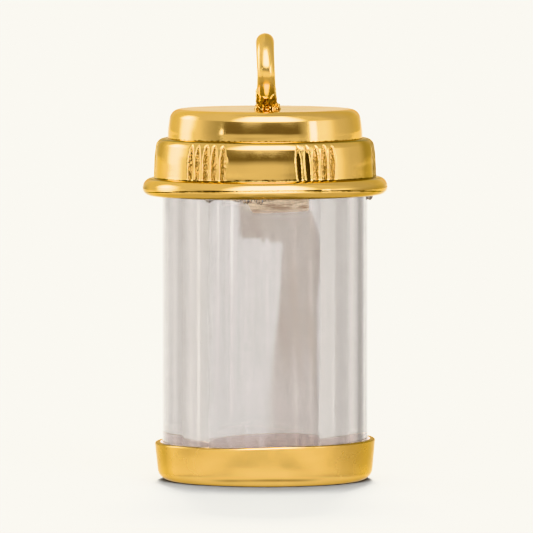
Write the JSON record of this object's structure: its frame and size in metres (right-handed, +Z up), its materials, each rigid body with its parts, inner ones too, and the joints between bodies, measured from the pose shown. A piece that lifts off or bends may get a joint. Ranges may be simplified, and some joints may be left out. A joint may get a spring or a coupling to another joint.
{
  "type": "pill bottle pendant",
  "caption": "Pendant shaped like a small pill bottle: a clear cylinder in a gold foot cup under a stepped gold cap with grip grooves, a beaded rim and a ring bail.",
  "frame": {"origin": "centre of the flat foot that the pendant stands on", "axes": "+Z up the bottle's axis to the bail, -Y the front that the picture shows, +X to the right; the bail's hole runs along X"},
  "size_m": [0.012, 0.012, 0.0219],
  "materials": {
    "polished_gold": "14 karat yellow gold, high polish with fine hand-buffing scratches",
    "clear_acrylic": "clear cast acrylic, polished, with faint lengthwise draw lines and cement at both ends"
  },
  "bodies": {
    "root": {"cap": "polished_gold", "clear_bottle": "clear_acrylic", "foot_cup": "polished_gold"}
  },
  "joints": []
}
